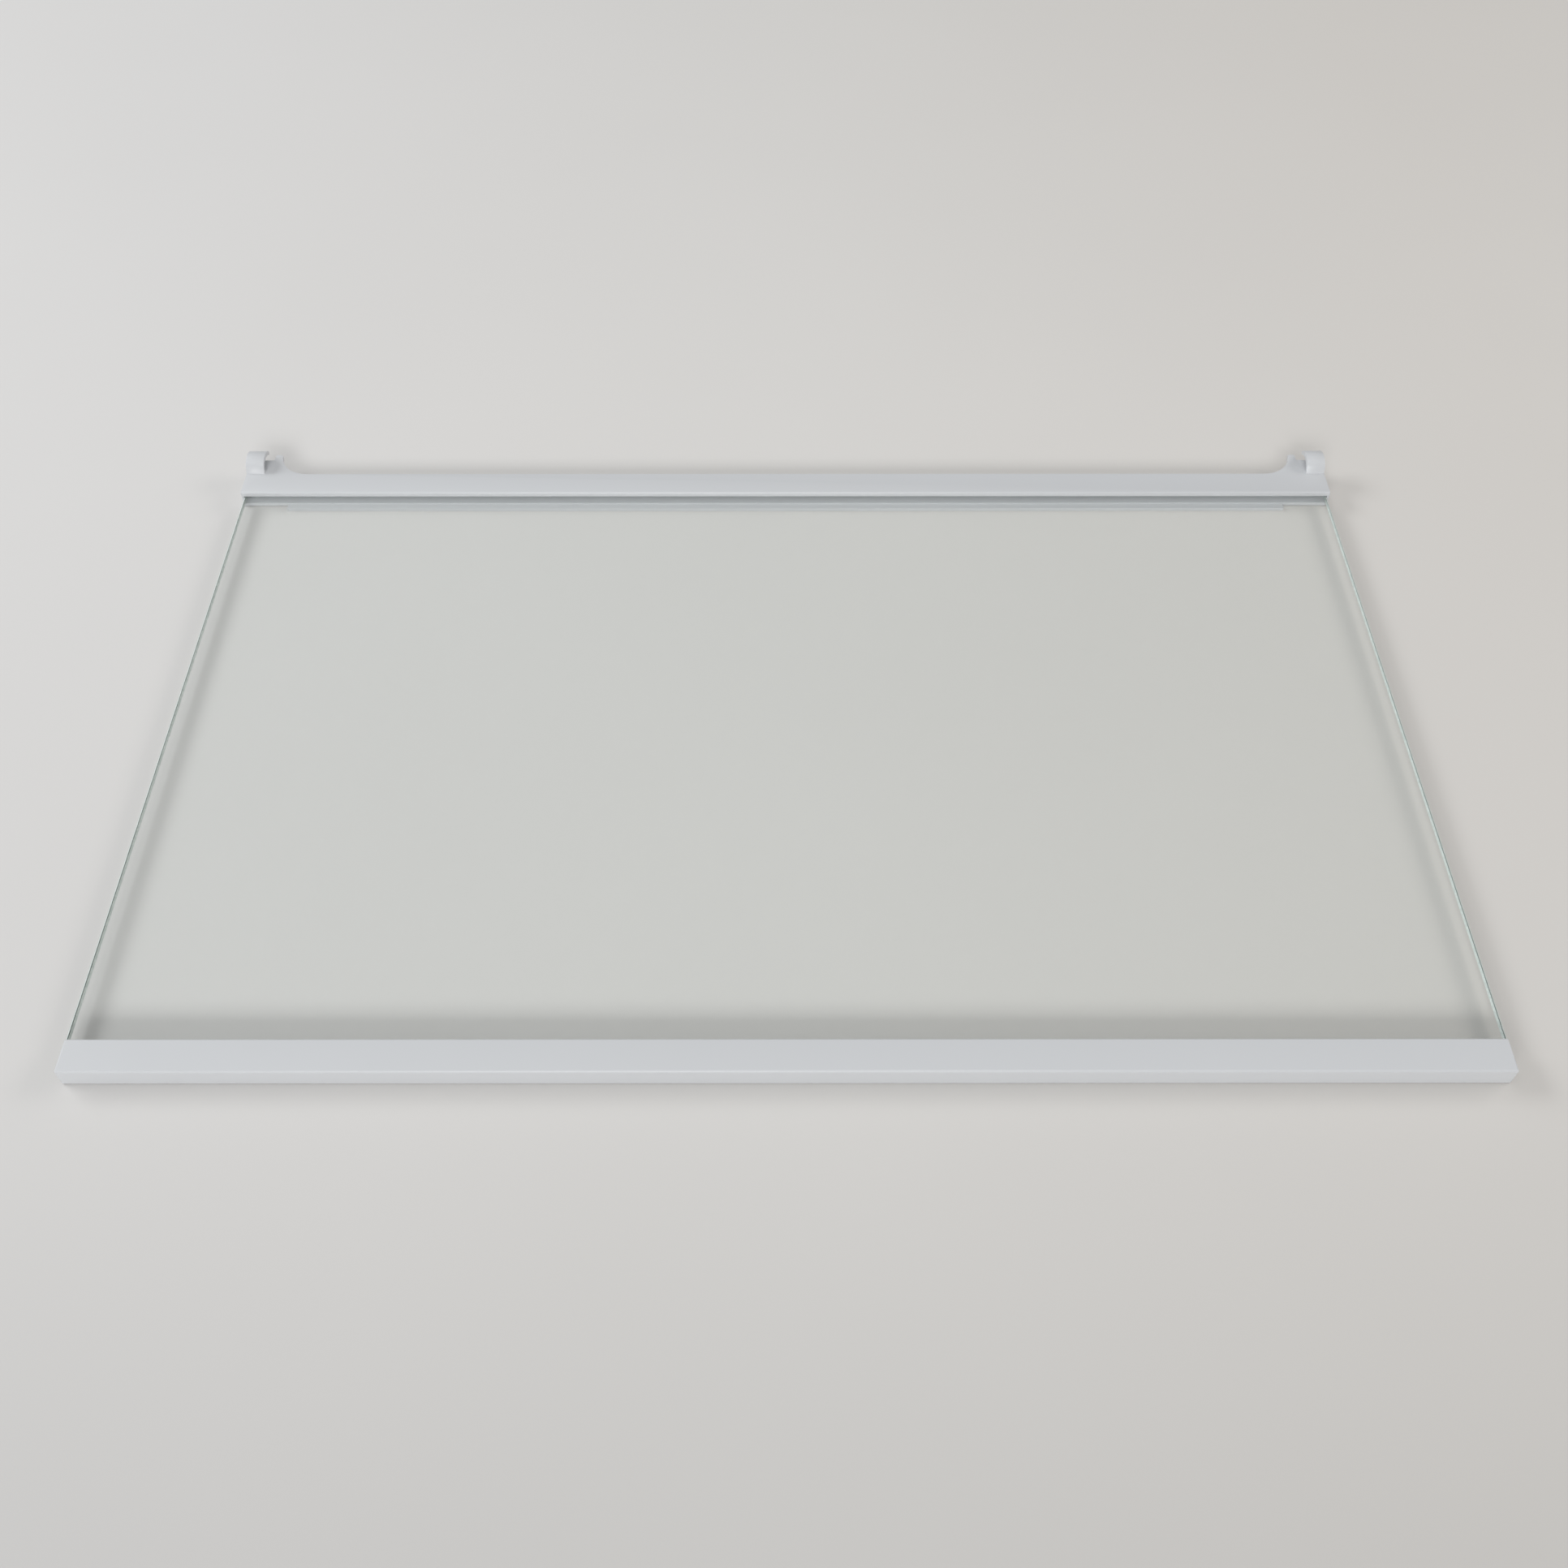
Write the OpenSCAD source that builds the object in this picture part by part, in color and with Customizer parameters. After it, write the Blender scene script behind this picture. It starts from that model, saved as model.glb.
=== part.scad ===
// Refrigerator shelf: a glass pane held between two white moulded trims.
// X runs across the shelf, -Y is the front, +Z is up. The origin lies on the surface
// that the shelf stands on, under the middle of its outer size.

/* [Glass pane] */
// Width of the pane between its side edges
pane_w = 475; // [300:1:600]
// Depth of the pane between its front and rear edges
pane_d = 293.5; // [200:0.5:400]
// Thickness of the pane
pane_t = 4; // [3:0.5:6]
// Radius of the pane's corners in plan
pane_corner_r = 2; // [1:0.5:6]
// Size of the ground bevel along the edges of the pane
pane_bevel = 0.7; // [0.3:0.1:1.2]

/* [Both trims] */
// Gap between the pane and the channels that hold it
pane_gap = 0.1; // [0.05:0.05:0.3]
// Thickness of the lips above the pane
upper_lip_t = 2; // [1.4:0.1:3]
// Thickness of the lips below the pane
lower_lip_t = 2; // [1.6:0.1:3]
// Radius on the lips' free edges and around the front trim
edge_r = 0.8; // [0.4:0.1:0.9]

/* [Front trim] */
// Depth of the upper lip, front face to rear edge
front_upper_d = 12.4; // [9:0.1:20]
// Depth of the lower lip, front face to rear edge
front_lower_d = 11.4; // [8:0.1:20]
// Thickness of the front wall
front_wall_t = 1.6; // [1.2:0.1:3]
// How far the trim's ends stop short of the pane's side edges
front_end_inset = 0.7; // [0.2:0.1:2]

/* [Rear trim] */
// Depth of the upper lip, front edge to rear face
rear_upper_d = 12.7; // [9:0.1:20]
// Thickness of the rear wall
rear_wall_t = 2; // [1.2:0.1:3]
// How far the closed ends stand out past the pane's side edges
rear_end_t = 1; // [0.8:0.1:2]
// Radius of the trim's front corners in plan
rear_corner_r = 1.6; // [0.8:0.1:3]
// How far the lower lip reaches forward of the upper lip
lower_reach = 1.9; // [0:0.1:6]
// How far the thin apron reaches forward of the lower lip
apron_d = 3; // [1:0.1:6]
// Thickness of the apron
apron_t = 1.4; // [0.8:0.1:1.5]
// Distance from each side edge of the pane to the apron's end
apron_inset = 19.3; // [10:0.1:60]

/* [Ears] */
// Length of the ears behind the rear face
ear_len = 13; // [11:0.1:20]
// Width of each ear at its tip, inner edge to the trim's end
ear_w = 13.7; // [13.2:0.1:24]
// Radius of the hollow corner between the rear face and an ear
ear_fillet_r = 13; // [3:0.5:20]
// Width of the lobe beside the notch
lobe_w = 3.2; // [2:0.1:4]
// Length of plate left between the rear face and the notch
notch_y = 9.4; // [7:0.1:10]
// Radius of the small corners on the lobe and in the notch
lobe_r = 0.8; // [0.3:0.1:1]
// Thickness of the gusset ribs under the ears
gusset_t = 1.4; // [1:0.1:2]
// Height of the gusset ribs against the rear wall
gusset_h = 4.6; // [2:0.1:5]

/* [Spring tongues] */
// Width of each tongue
tongue_w = 7.9; // [5:0.1:9]
// Thickness of the tongue's arch
tongue_t = 1.7; // [1.2:0.1:2]
// Outer radius of the arch
tongue_r = 7.9; // [7:0.1:9]
// Height of the arch above the ear
tongue_rise = 5; // [4.4:0.1:6]
// Distance from the rear face to the middle of the arch
tongue_mid = 6.9; // [6.5:0.1:7.5]
// Lean of the tongue's front face from upright, in degrees
tongue_lean = 28; // [15:1:35]
// Angle from the top of the arch to the end of its tail
tongue_tail = 42; // [30:1:46]

/* [Hidden] */
$fn = 64;
white = "#eef0f2";
glass = [0.72, 0.83, 0.79, 0.55];
slot_h = pane_t + 2 * pane_gap;
trim_h = lower_lip_t + slot_h + upper_lip_t;
shelf_d = front_wall_t + pane_gap + pane_d + pane_gap + rear_wall_t + ear_len;
front_y = -shelf_d / 2;
pane_y = front_y + front_wall_t + pane_gap;
rear_y = shelf_d / 2 - ear_len;
pane_z = lower_lip_t + pane_gap;
ear_z = trim_h - upper_lip_t;
front_w = pane_w - 2 * front_end_inset;
rear_w = pane_w + 2 * rear_end_t;
ear_x = rear_w / 2 - ear_w;
apron_w = pane_w - 2 * apron_inset;
// Length by which a shape runs on into or past its neighbour so that they join or cut cleanly
run_on = 1;

// Extrudes an outline drawn in Y and Z along X, centred on x = 0
module along_x(length) {
    rotate([90, 0, 90])
        linear_extrude(height = length, center = true)
            children();
}

// Extrudes an outline drawn in X and Z along Y, centred on y = 0
module along_y(length) {
    rotate([90, 0, 0])
        linear_extrude(height = length, center = true)
            children();
}

// Draws a part on the right and its mirror image on the left
module both_sides() {
    children();
    mirror([1, 0, 0])
        children();
}

// Rectangle with one corner on the origin and all four corners rounded
module round_rect(size, r) {
    translate([r, 0])
        square([size[0] - 2 * r, size[1]]);
    translate([0, r])
        square([size[0], size[1] - 2 * r]);
    for (x = [r, size[0] - r], y = [r, size[1] - r])
        translate([x, y])
            circle(r = r);
}

// Plan outline of the pane, grown by a margin on every side
module pane_outline(margin) {
    translate([-pane_w / 2 - margin, pane_y - margin])
        round_rect([pane_w + 2 * margin, pane_d + 2 * margin], pane_corner_r + margin);
}

// Section of the pane with a bevel on each of its four edges
module pane_section(length) {
    half = length / 2;
    polygon([
        [-half + pane_bevel, 0],
        [half - pane_bevel, 0],
        [half, pane_bevel],
        [half, pane_t - pane_bevel],
        [half - pane_bevel, pane_t],
        [-half + pane_bevel, pane_t],
        [-half, pane_t - pane_bevel],
        [-half, pane_bevel]
    ]);
}

// Round corner of the pane, with the same bevel above and below
module pane_corner() {
    r = pane_corner_r;
    rotate_extrude()
        polygon([
            [0, 0],
            [r - pane_bevel, 0],
            [r, pane_bevel],
            [r, pane_t - pane_bevel],
            [r - pane_bevel, pane_t],
            [0, pane_t]
        ]);
}

// Glass pane with ground bevels
module glass_pane() {
    corner_x = pane_w / 2 - pane_corner_r;
    corner_y = pane_d / 2 - pane_corner_r;
    color(glass)
        translate([0, pane_y + pane_d / 2, pane_z]) {
            along_x(2 * corner_x)
                pane_section(pane_d);
            along_y(2 * corner_y)
                pane_section(pane_w);
            for (x = [-corner_x, corner_x], y = [-corner_y, corner_y])
                translate([x, y, 0])
                    pane_corner();
        }
}

// Room that the channels leave for the pane
module pane_room() {
    translate([0, 0, lower_lip_t])
        linear_extrude(height = slot_h)
            pane_outline(pane_gap);
}

// Section with its closed side on y = 0 and round corners on its free side
module lip_section(depth) {
    square([depth - edge_r, trim_h]);
    translate([0, edge_r])
        square([depth, trim_h - 2 * edge_r]);
    for (z = [edge_r, trim_h - edge_r])
        translate([depth - edge_r, z])
            circle(r = edge_r);
}

// Section of a channel before it is hollowed, with an upper and a lower lip
module channel_section(upper_d, lower_d) {
    intersection() {
        lip_section(upper_d);
        translate([-run_on, trim_h / 2])
            square([upper_d + 2 * run_on, trim_h]);
    }
    intersection() {
        lip_section(lower_d);
        translate([-run_on, -trim_h / 2])
            square([lower_d + 2 * run_on, trim_h]);
    }
}

// Front trim before it is hollowed: every long edge and both ends are rounded
module front_block() {
    depth = max(front_upper_d, front_lower_d);
    intersection() {
        along_x(front_w)
            channel_section(front_upper_d, front_lower_d);
        along_x(front_w)
            round_rect([depth + 2 * edge_r, trim_h], edge_r);
        translate([-front_w / 2, 0, -run_on])
            linear_extrude(height = trim_h + 2 * run_on)
                round_rect([front_w, depth], edge_r);
        translate([-front_w / 2, depth / 2, 0])
            along_y(depth + 2 * run_on)
                round_rect([front_w, trim_h], edge_r);
    }
}

// Front trim: a C-shaped channel with open ends
module front_trim() {
    color(white)
        difference() {
            translate([0, front_y, 0])
                front_block();
            pane_room();
        }
}

// Rear trim before it is hollowed. Its rear edges stay square, to run on into the ears
module rear_block() {
    depth = rear_upper_d + lower_reach;
    intersection() {
        mirror([0, 1, 0])
            along_x(rear_w)
                channel_section(rear_upper_d, depth);
        translate([-rear_w / 2, -depth, -run_on])
            linear_extrude(height = trim_h + 2 * run_on)
                round_rect([rear_w, 2 * depth], rear_corner_r);
    }
}

// Thin apron in front of the rear trim's lower lip
module apron() {
    lip_y = rear_y - rear_upper_d - lower_reach;
    translate([-apron_w / 2, lip_y - apron_d, 0])
        cube([apron_w, apron_d + run_on, apron_t]);
}

// Plan outline of the right ear, drawn from the rear face at y = 0
module ear_outline() {
    fillet = min(ear_fillet_r, ear_len);
    difference() {
        union() {
            translate([0, -run_on])
                square([ear_w, notch_y + run_on]);
            translate([0, -run_on])
                square([lobe_w, ear_len - lobe_r + run_on]);
            translate([lobe_r, ear_len - lobe_r])
                circle(r = lobe_r);
            translate([lobe_w - lobe_r, ear_len - lobe_r])
                circle(r = lobe_r);
            translate([lobe_r, 0])
                square([lobe_w - 2 * lobe_r, ear_len]);
            translate([lobe_w - run_on, notch_y - run_on])
                square([lobe_r + run_on, lobe_r + run_on]);
            translate([-fillet, -run_on])
                square([fillet + lobe_r, fillet + run_on - lobe_r]);
        }
        translate([-fillet, fillet])
            circle(r = fillet);
        translate([lobe_w + lobe_r, notch_y + lobe_r])
            circle(r = lobe_r);
    }
}

// Gusset rib under an ear
module gusset(length) {
    along_x(gusset_t)
        polygon([
            [-run_on, run_on],
            [-run_on, -gusset_h],
            [0, -gusset_h],
            [length, -gusset_t],
            [length, run_on]
        ]);
}

// Section of the spring tongue, drawn from the rear face at y = 0 and the ear's top at z = 0
module tongue_section() {
    mid_r = tongue_r - tongue_t / 2;
    arch_z = tongue_rise - tongue_r;
    tail = [tongue_mid + mid_r * sin(tongue_tail), arch_z + mid_r * cos(tongue_tail)];
    difference() {
        intersection() {
            translate([tongue_mid, arch_z])
                circle(r = tongue_r, $fn = 128);
            behind_front_face(0);
        }
        intersection() {
            translate([tongue_mid, arch_z])
                circle(r = tongue_r - tongue_t, $fn = 128);
            behind_front_face(tongue_t);
        }
        translate([tongue_mid, arch_z])
            rotate(-tongue_tail)
                translate([0, -tongue_r])
                    square([2 * tongue_r, 3 * tongue_r]);
    }
    translate(tail)
        circle(r = tongue_t / 2);
}

// Everything behind the tongue's leaning front face, set back by a distance square to it
module behind_front_face(back) {
    reach = 4 * tongue_r;
    intersection() {
        rotate(-tongue_lean)
            translate([back, -reach / 2])
                square(reach);
        translate([-reach / 2, -run_on])
            square(reach);
    }
}

// Right ear with its gussets and its tongue
module ear() {
    translate([ear_x, rear_y, ear_z]) {
        linear_extrude(height = upper_lip_t)
            ear_outline();
        translate([lobe_w / 2, 0, 0])
            gusset(ear_len - lobe_r);
        translate([ear_w - gusset_t / 2, 0, 0])
            gusset(notch_y);
        translate([ear_w - tongue_w / 2, 0, upper_lip_t])
            along_x(tongue_w)
                tongue_section();
    }
}

// Rear trim: a closed-ended channel, its apron, and two ears with spring tongues
module rear_trim() {
    color(white)
        difference() {
            union() {
                translate([0, rear_y, 0])
                    rear_block();
                apron();
                both_sides()
                    ear();
            }
            pane_room();
        }
}

glass_pane();
front_trim();
rear_trim();
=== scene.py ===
import math

import bmesh
import bpy
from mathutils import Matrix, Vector


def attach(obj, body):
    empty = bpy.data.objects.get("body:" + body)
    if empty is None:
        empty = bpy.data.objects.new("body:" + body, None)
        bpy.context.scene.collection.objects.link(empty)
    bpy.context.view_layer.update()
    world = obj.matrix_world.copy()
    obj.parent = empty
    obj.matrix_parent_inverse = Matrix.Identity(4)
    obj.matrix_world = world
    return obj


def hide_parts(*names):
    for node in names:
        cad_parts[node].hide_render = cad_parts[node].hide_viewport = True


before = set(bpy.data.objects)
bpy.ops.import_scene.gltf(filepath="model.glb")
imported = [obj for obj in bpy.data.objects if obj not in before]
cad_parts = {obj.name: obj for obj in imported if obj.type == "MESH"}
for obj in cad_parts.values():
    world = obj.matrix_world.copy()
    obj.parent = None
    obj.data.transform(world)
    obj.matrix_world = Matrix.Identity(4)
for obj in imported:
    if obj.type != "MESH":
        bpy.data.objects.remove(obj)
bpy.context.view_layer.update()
scene = bpy.context.scene
scene.view_settings.view_transform = "Standard"


# Node helpers

def material(name):
    m = bpy.data.materials.new(name)
    m.use_nodes = True
    m.node_tree.nodes.clear()
    return m


def node(m, kind, **inputs):
    n = m.node_tree.nodes.new(kind)
    for key, value in inputs.items():
        n.inputs[key.replace("_", " ")].default_value = value
    return n


def link(m, a, out, b, into):
    m.node_tree.links.new(a.outputs[out], b.inputs[into])


def noise(m, coords, scale, detail, rough=0.5):
    n = node(m, "ShaderNodeTexNoise", Scale=scale, Detail=detail, Roughness=rough)
    link(m, coords, "Object", n, "Vector")
    return n


def ramp(m, source, out, stops):
    r = m.node_tree.nodes.new("ShaderNodeValToRGB")
    r.color_ramp.elements[0].position = stops[0][0]
    r.color_ramp.elements[0].color = stops[0][1]
    r.color_ramp.elements[1].position = stops[-1][0]
    r.color_ramp.elements[1].color = stops[-1][1]
    for position, color in stops[1:-1]:
        e = r.color_ramp.elements.new(position)
        e.color = color
    link(m, source, out, r, "Fac")
    return r


def grey(v):
    return (v, v, v, 1)


# Materials

def white_plastic(name, base):
    """Moulded plastic: a fine satin grain, a slow waviness, and slight wear in its gloss."""
    m = material(name)
    out = m.node_tree.nodes.new("ShaderNodeOutputMaterial")
    p = node(m, "ShaderNodeBsdfPrincipled", IOR=1.49)
    p.inputs["Subsurface Weight"].default_value = 0.0
    coords = m.node_tree.nodes.new("ShaderNodeTexCoord")
    tone = noise(m, coords, 9.0, 3.0)
    low = tuple(0.985 * c for c in base)
    colour = ramp(m, tone, "Fac", [(0.3, low + (1,)), (0.7, base + (1,))])
    link(m, colour, "Color", p, "Base Color")
    gloss = noise(m, coords, 60.0, 4.0)
    rough = ramp(m, gloss, "Fac", [(0.3, grey(0.30)), (0.7, grey(0.38))])
    link(m, rough, "Color", p, "Roughness")
    grain = noise(m, coords, 2600.0, 2.0)
    wave = noise(m, coords, 35.0, 1.0)
    fine = node(m, "ShaderNodeBump", Strength=0.06, Distance=0.0002)
    slow = node(m, "ShaderNodeBump", Strength=0.05, Distance=0.001)
    link(m, wave, "Fac", slow, "Height")
    link(m, grain, "Fac", fine, "Height")
    link(m, slow, "Normal", fine, "Normal")
    link(m, fine, "Normal", p, "Normal")
    link(m, p, "BSDF", out, "Surface")
    return m


def clear_glass(name, tint, lamp_tint):
    """Float glass with faint smears in its gloss. Lamps pass through it to the floor."""
    m = material(name)
    out = m.node_tree.nodes.new("ShaderNodeOutputMaterial")
    p = node(m, "ShaderNodeBsdfPrincipled", Base_Color=tint + (1,), IOR=1.52, Transmission_Weight=1.0)
    coords = m.node_tree.nodes.new("ShaderNodeTexCoord")
    smear = noise(m, coords, 14.0, 5.0, 0.6)
    rough = ramp(m, smear, "Fac", [(0.45, grey(0.0)), (0.75, grey(0.035))])
    link(m, rough, "Color", p, "Roughness")
    through = node(m, "ShaderNodeBsdfTransparent", Color=lamp_tint + (1,))
    rays = m.node_tree.nodes.new("ShaderNodeLightPath")
    lit = m.node_tree.nodes.new("ShaderNodeMath")
    lit.operation = "MAXIMUM"
    m.node_tree.links.new(rays.outputs["Is Shadow Ray"], lit.inputs[0])
    m.node_tree.links.new(rays.outputs["Is Diffuse Ray"], lit.inputs[1])
    mix = m.node_tree.nodes.new("ShaderNodeMixShader")
    link(m, lit, "Value", mix, "Fac")
    m.node_tree.links.new(p.outputs["BSDF"], mix.inputs[1])
    m.node_tree.links.new(through.outputs["BSDF"], mix.inputs[2])
    link(m, mix, "Shader", out, "Surface")
    return m


def ground_glass(name, dark, pale, rough, scale):
    """Ground glass for the pane's edges: fine grinding marks along the edge, as noise between the dark
    and pale colours. For the side faces, the dark colours are the glass's own green deepened by painted
    shade.
    """
    m = material(name)
    out = m.node_tree.nodes.new("ShaderNodeOutputMaterial")
    p = node(m, "ShaderNodeBsdfPrincipled", Roughness=rough, IOR=1.52)
    coords = m.node_tree.nodes.new("ShaderNodeTexCoord")
    marks = noise(m, coords, scale, 3.0)
    colour = ramp(m, marks, "Fac", [(0.35, dark + (1,)), (0.65, pale + (1,))])
    link(m, colour, "Color", p, "Base Color")
    bump = node(m, "ShaderNodeBump", Strength=0.15, Distance=0.0002)
    link(m, marks, "Fac", bump, "Height")
    link(m, bump, "Normal", p, "Normal")
    link(m, p, "BSDF", out, "Surface")
    return m


plastic = white_plastic("white_plastic_moulded", (0.615, 0.628, 0.645))
clear = clear_glass("glass_clear", (0.974, 0.982, 0.978), (0.974, 0.982, 0.978))
# Side faces: the glass's own green, darkened by painted shade for the dark line seen through the glass
# edge
edge_green_painted_shade = ground_glass("glass_edge_green_painted_shade", (0.030, 0.055, 0.050), (0.060, 0.095, 0.085), 0.35, 900.0)
bevel = ground_glass("glass_ground_bevel", (0.55, 0.62, 0.59), (0.68, 0.74, 0.71), 0.45, 900.0)


# Pieces

def piece_from(cad_name, name, materials):
    """A new object with a copy of a CAD node's mesh, standing for that node."""
    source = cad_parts[cad_name]
    mesh = source.data.copy()
    mesh.materials.clear()
    for m in materials:
        mesh.materials.append(m)
    o = bpy.data.objects.new(name, mesh)
    scene.collection.objects.link(o)
    o.matrix_world = source.matrix_world.copy()
    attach(o, "root")
    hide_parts(cad_name)
    return o


def clean(o, angle=1.0):
    """Welds the tessellation and merges its flat triangles, so that only real edges are left."""
    bm = bmesh.new()
    bm.from_mesh(o.data)
    bmesh.ops.remove_doubles(bm, verts=bm.verts, dist=1e-6)
    bmesh.ops.dissolve_limit(bm, angle_limit=math.radians(angle), verts=bm.verts, edges=bm.edges)
    bm.normal_update()
    bm.to_mesh(o.data)
    bm.free()


def rounded(o, width, segments=3):
    """Breaks every sharp moulded edge by a small radius, and shades the rest smooth."""
    b = o.modifiers.new("edge_break", "BEVEL")
    b.width = width
    b.segments = segments
    b.limit_method = "ANGLE"
    b.angle_limit = math.radians(35)
    b.harden_normals = True
    for f in o.data.polygons:
        f.use_smooth = True


front = piece_from("front_trim", "front_trim_moulding", [plastic])
rear = piece_from("rear_trim", "rear_trim_moulding", [plastic])
for o in (front, rear):
    clean(o)
    rounded(o, 0.0002)

pane = piece_from("glass_pane", "pane", [clear, edge_green_painted_shade, bevel])
clean(pane)
# Flat faces get clear glass, side faces the green edge darkened by painted shade, and the arrises the
# pale ground bevel
for f in pane.data.polygons:
    up = abs(f.normal.z)
    f.material_index = 0 if up > 0.95 else 1 if up < 0.3 else 2
    f.use_smooth = False


# Floor

def floor_material():
    """Pale paper sweep with painted shade: its colour darkens towards the front, and turns warmer and
    darker towards the right, for the falloff of the lamps. A faint random cloud varies its tone.
    """
    m = material("paper_floor")
    out = m.node_tree.nodes.new("ShaderNodeOutputMaterial")
    p = node(m, "ShaderNodeBsdfPrincipled", Roughness=0.8)
    coords = m.node_tree.nodes.new("ShaderNodeTexCoord")
    axes = m.node_tree.nodes.new("ShaderNodeSeparateXYZ")
    link(m, coords, "Object", axes, "Vector")
    depth = node(m, "ShaderNodeMapRange", From_Min=-0.3, From_Max=0.2)
    link(m, axes, "Y", depth, "Value")
    # Painted shade: the floor colour darkens towards the front
    painted_shade_to_front = ramp(m, depth, "Result", [(0.0, grey(0.585)), (0.3, grey(0.675)), (1.0, grey(0.715))])
    across = node(m, "ShaderNodeMapRange", From_Min=-0.35, From_Max=0.35)
    link(m, axes, "X", across, "Value")
    # Painted shade: the floor colour turns warmer and darker towards the right
    painted_shade_to_right = ramp(m, across, "Result", [(0.0, (1.0, 0.985, 0.97, 1)), (0.5, (0.995, 0.975, 0.945, 1)), (1.0, (0.96, 0.925, 0.88, 1))])
    cloud = noise(m, coords, 5.0, 3.0)
    patch = ramp(m, cloud, "Fac", [(0.3, (0.985, 0.985, 0.985, 1)), (0.7, (1.0, 1.0, 1.0, 1))])
    colour = painted_shade_to_front
    for tint in (painted_shade_to_right, patch):
        both = m.node_tree.nodes.new("ShaderNodeMix")
        both.data_type = "RGBA"
        both.blend_type = "MULTIPLY"
        both.inputs["Factor"].default_value = 1.0
        source = colour.outputs["Color"] if colour is painted_shade_to_front else colour.outputs[2]
        m.node_tree.links.new(source, both.inputs[6])
        m.node_tree.links.new(tint.outputs["Color"], both.inputs[7])
        colour = both
    m.node_tree.links.new(colour.outputs[2], p.inputs["Base Color"])
    link(m, p, "BSDF", out, "Surface")
    return m


mesh = bpy.data.meshes.new("floor")
bm = bmesh.new()
bmesh.ops.create_grid(bm, x_segments=2, y_segments=2, size=6.0)
bm.to_mesh(mesh)
bm.free()
floor = bpy.data.objects.new("floor", mesh)
floor.data.materials.append(floor_material())
scene.collection.objects.link(floor)


# Lights

def softbox(name, place, aim, size, power, colour):
    light = bpy.data.lights.new(name, "AREA")
    light.shape = "RECTANGLE"
    light.size, light.size_y = size
    light.energy = power
    light.color = colour
    o = bpy.data.objects.new(name, light)
    o.location = place
    o.rotation_euler = (Vector(aim) - Vector(place)).to_track_quat("-Z", "Y").to_euler()
    scene.collection.objects.link(o)


softbox("front", (-0.4, -2.6, 1.4), (0, 0, 0), (1.8, 0.7), 46.0, (1.0, 1.0, 1.0))
softbox("left", (-2.1, 0.9, 1.3), (0, 0.2, 0), (1.4, 0.7), 26.0, (0.97, 0.99, 1.0))
softbox("right", (2.1, 0.7, 1.2), (0, 0.2, 0), (1.4, 0.7), 13.0, (1.0, 0.96, 0.92))
softbox("overhead", (-0.2, -0.35, 2.2), (0, 0, 0), (1.8, 1.4), 7.0, (1.0, 1.0, 1.0))

world = bpy.data.worlds.new("studio")
world.use_nodes = True
world.node_tree.nodes["Background"].inputs["Color"].default_value = (0.80, 0.81, 0.82, 1)
world.node_tree.nodes["Background"].inputs["Strength"].default_value = 0.42
scene.world = world


# Camera, at the photograph's place and angle

lens = bpy.data.cameras.new("camera")
lens.sensor_width = 36.0
lens.lens = 36.0
lens.clip_start = 0.01
camera = bpy.data.objects.new("camera", lens)
camera.location = (-0.00103, -0.40345, 0.4588)
camera.rotation_euler = (math.radians(90 - 50.74), 0, math.radians(-0.04))
scene.collection.objects.link(camera)
scene.camera = camera

bpy.context.view_layer.update()
